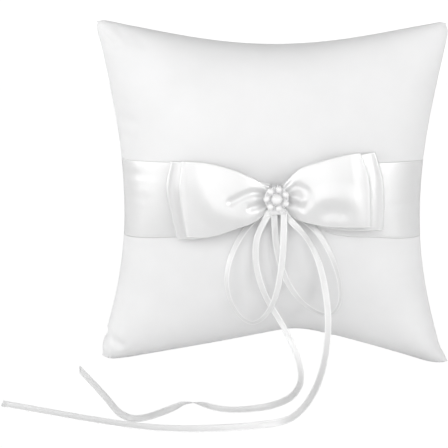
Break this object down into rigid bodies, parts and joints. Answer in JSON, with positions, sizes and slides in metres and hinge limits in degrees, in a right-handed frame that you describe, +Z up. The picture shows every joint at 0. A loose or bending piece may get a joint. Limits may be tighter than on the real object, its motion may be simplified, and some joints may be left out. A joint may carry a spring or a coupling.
{
  "type": "ring bearer pillow",
  "caption": "Square stuffed satin cushion with a waist ribbon, a double bow, a pearl brooch and a narrow ribbon to tie wedding rings to.",
  "frame": {"origin": "on the table, below the middle of the pillow without its free ribbons", "axes": "+Z up, the front with the bow faces -Y, +X to the right of someone looking at the bow"},
  "size_m": [0.2111, 0.1415, 0.1695],
  "materials": {
    "satin_cover": "matte satin",
    "satin_ribbon": "glossy satin",
    "narrow_ribbon": "satin",
    "filling": "matte",
    "thread": "matte",
    "pearl": "pearl",
    "silver": "polished"
  },
  "bodies": {
    "root": {"bow_gather": "satin_ribbon", "bow_tack_stitches": "thread", "brooch_setting": "silver", "brooch_shank": "silver", "brooch_thread": "thread", "closing_stitches": "thread", "cover_back_panel": "satin_cover", "cover_front_panel": "satin_cover", "fibre_filling": "filling", "gather_thread": "thread", "pearl_centre": "pearl", "pearl_outer_1": "pearl", "pearl_outer_2": "pearl", "pearl_outer_3": "pearl", "pearl_outer_4": "pearl", "pearl_outer_5": "pearl", "pearl_outer_6": "pearl", "pearl_outer_7": "pearl", "ring_ribbon_knot": "narrow_ribbon", "ring_ribbon_loop_left": "narrow_ribbon", "ring_ribbon_loop_right": "narrow_ribbon", "ring_ribbon_tail_left": "narrow_ribbon", "ring_ribbon_tail_right": "narrow_ribbon", "waist_ribbon": "satin_ribbon"},
    "bow_left": {"bow_back_loop_left": "satin_ribbon", "bow_front_loop_left": "satin_ribbon"},
    "bow_right": {"bow_back_loop_right": "satin_ribbon", "bow_front_loop_right": "satin_ribbon"}
  },
  "joints": [
    {"name": "bow_left_lift", "type": "hinge", "parent": "root", "child": "bow_left", "pos_m": [-0.009, -0.0291, 0.088], "axis": [0, 0, 1], "range_deg": [0, 40], "stiffness_Nm_per_rad": 0.0002},
    {"name": "bow_right_lift", "type": "hinge", "parent": "root", "child": "bow_right", "pos_m": [0.009, -0.0291, 0.088], "axis": [0, 0, -1], "range_deg": [0, 40], "stiffness_Nm_per_rad": 0.0002}
  ]
}
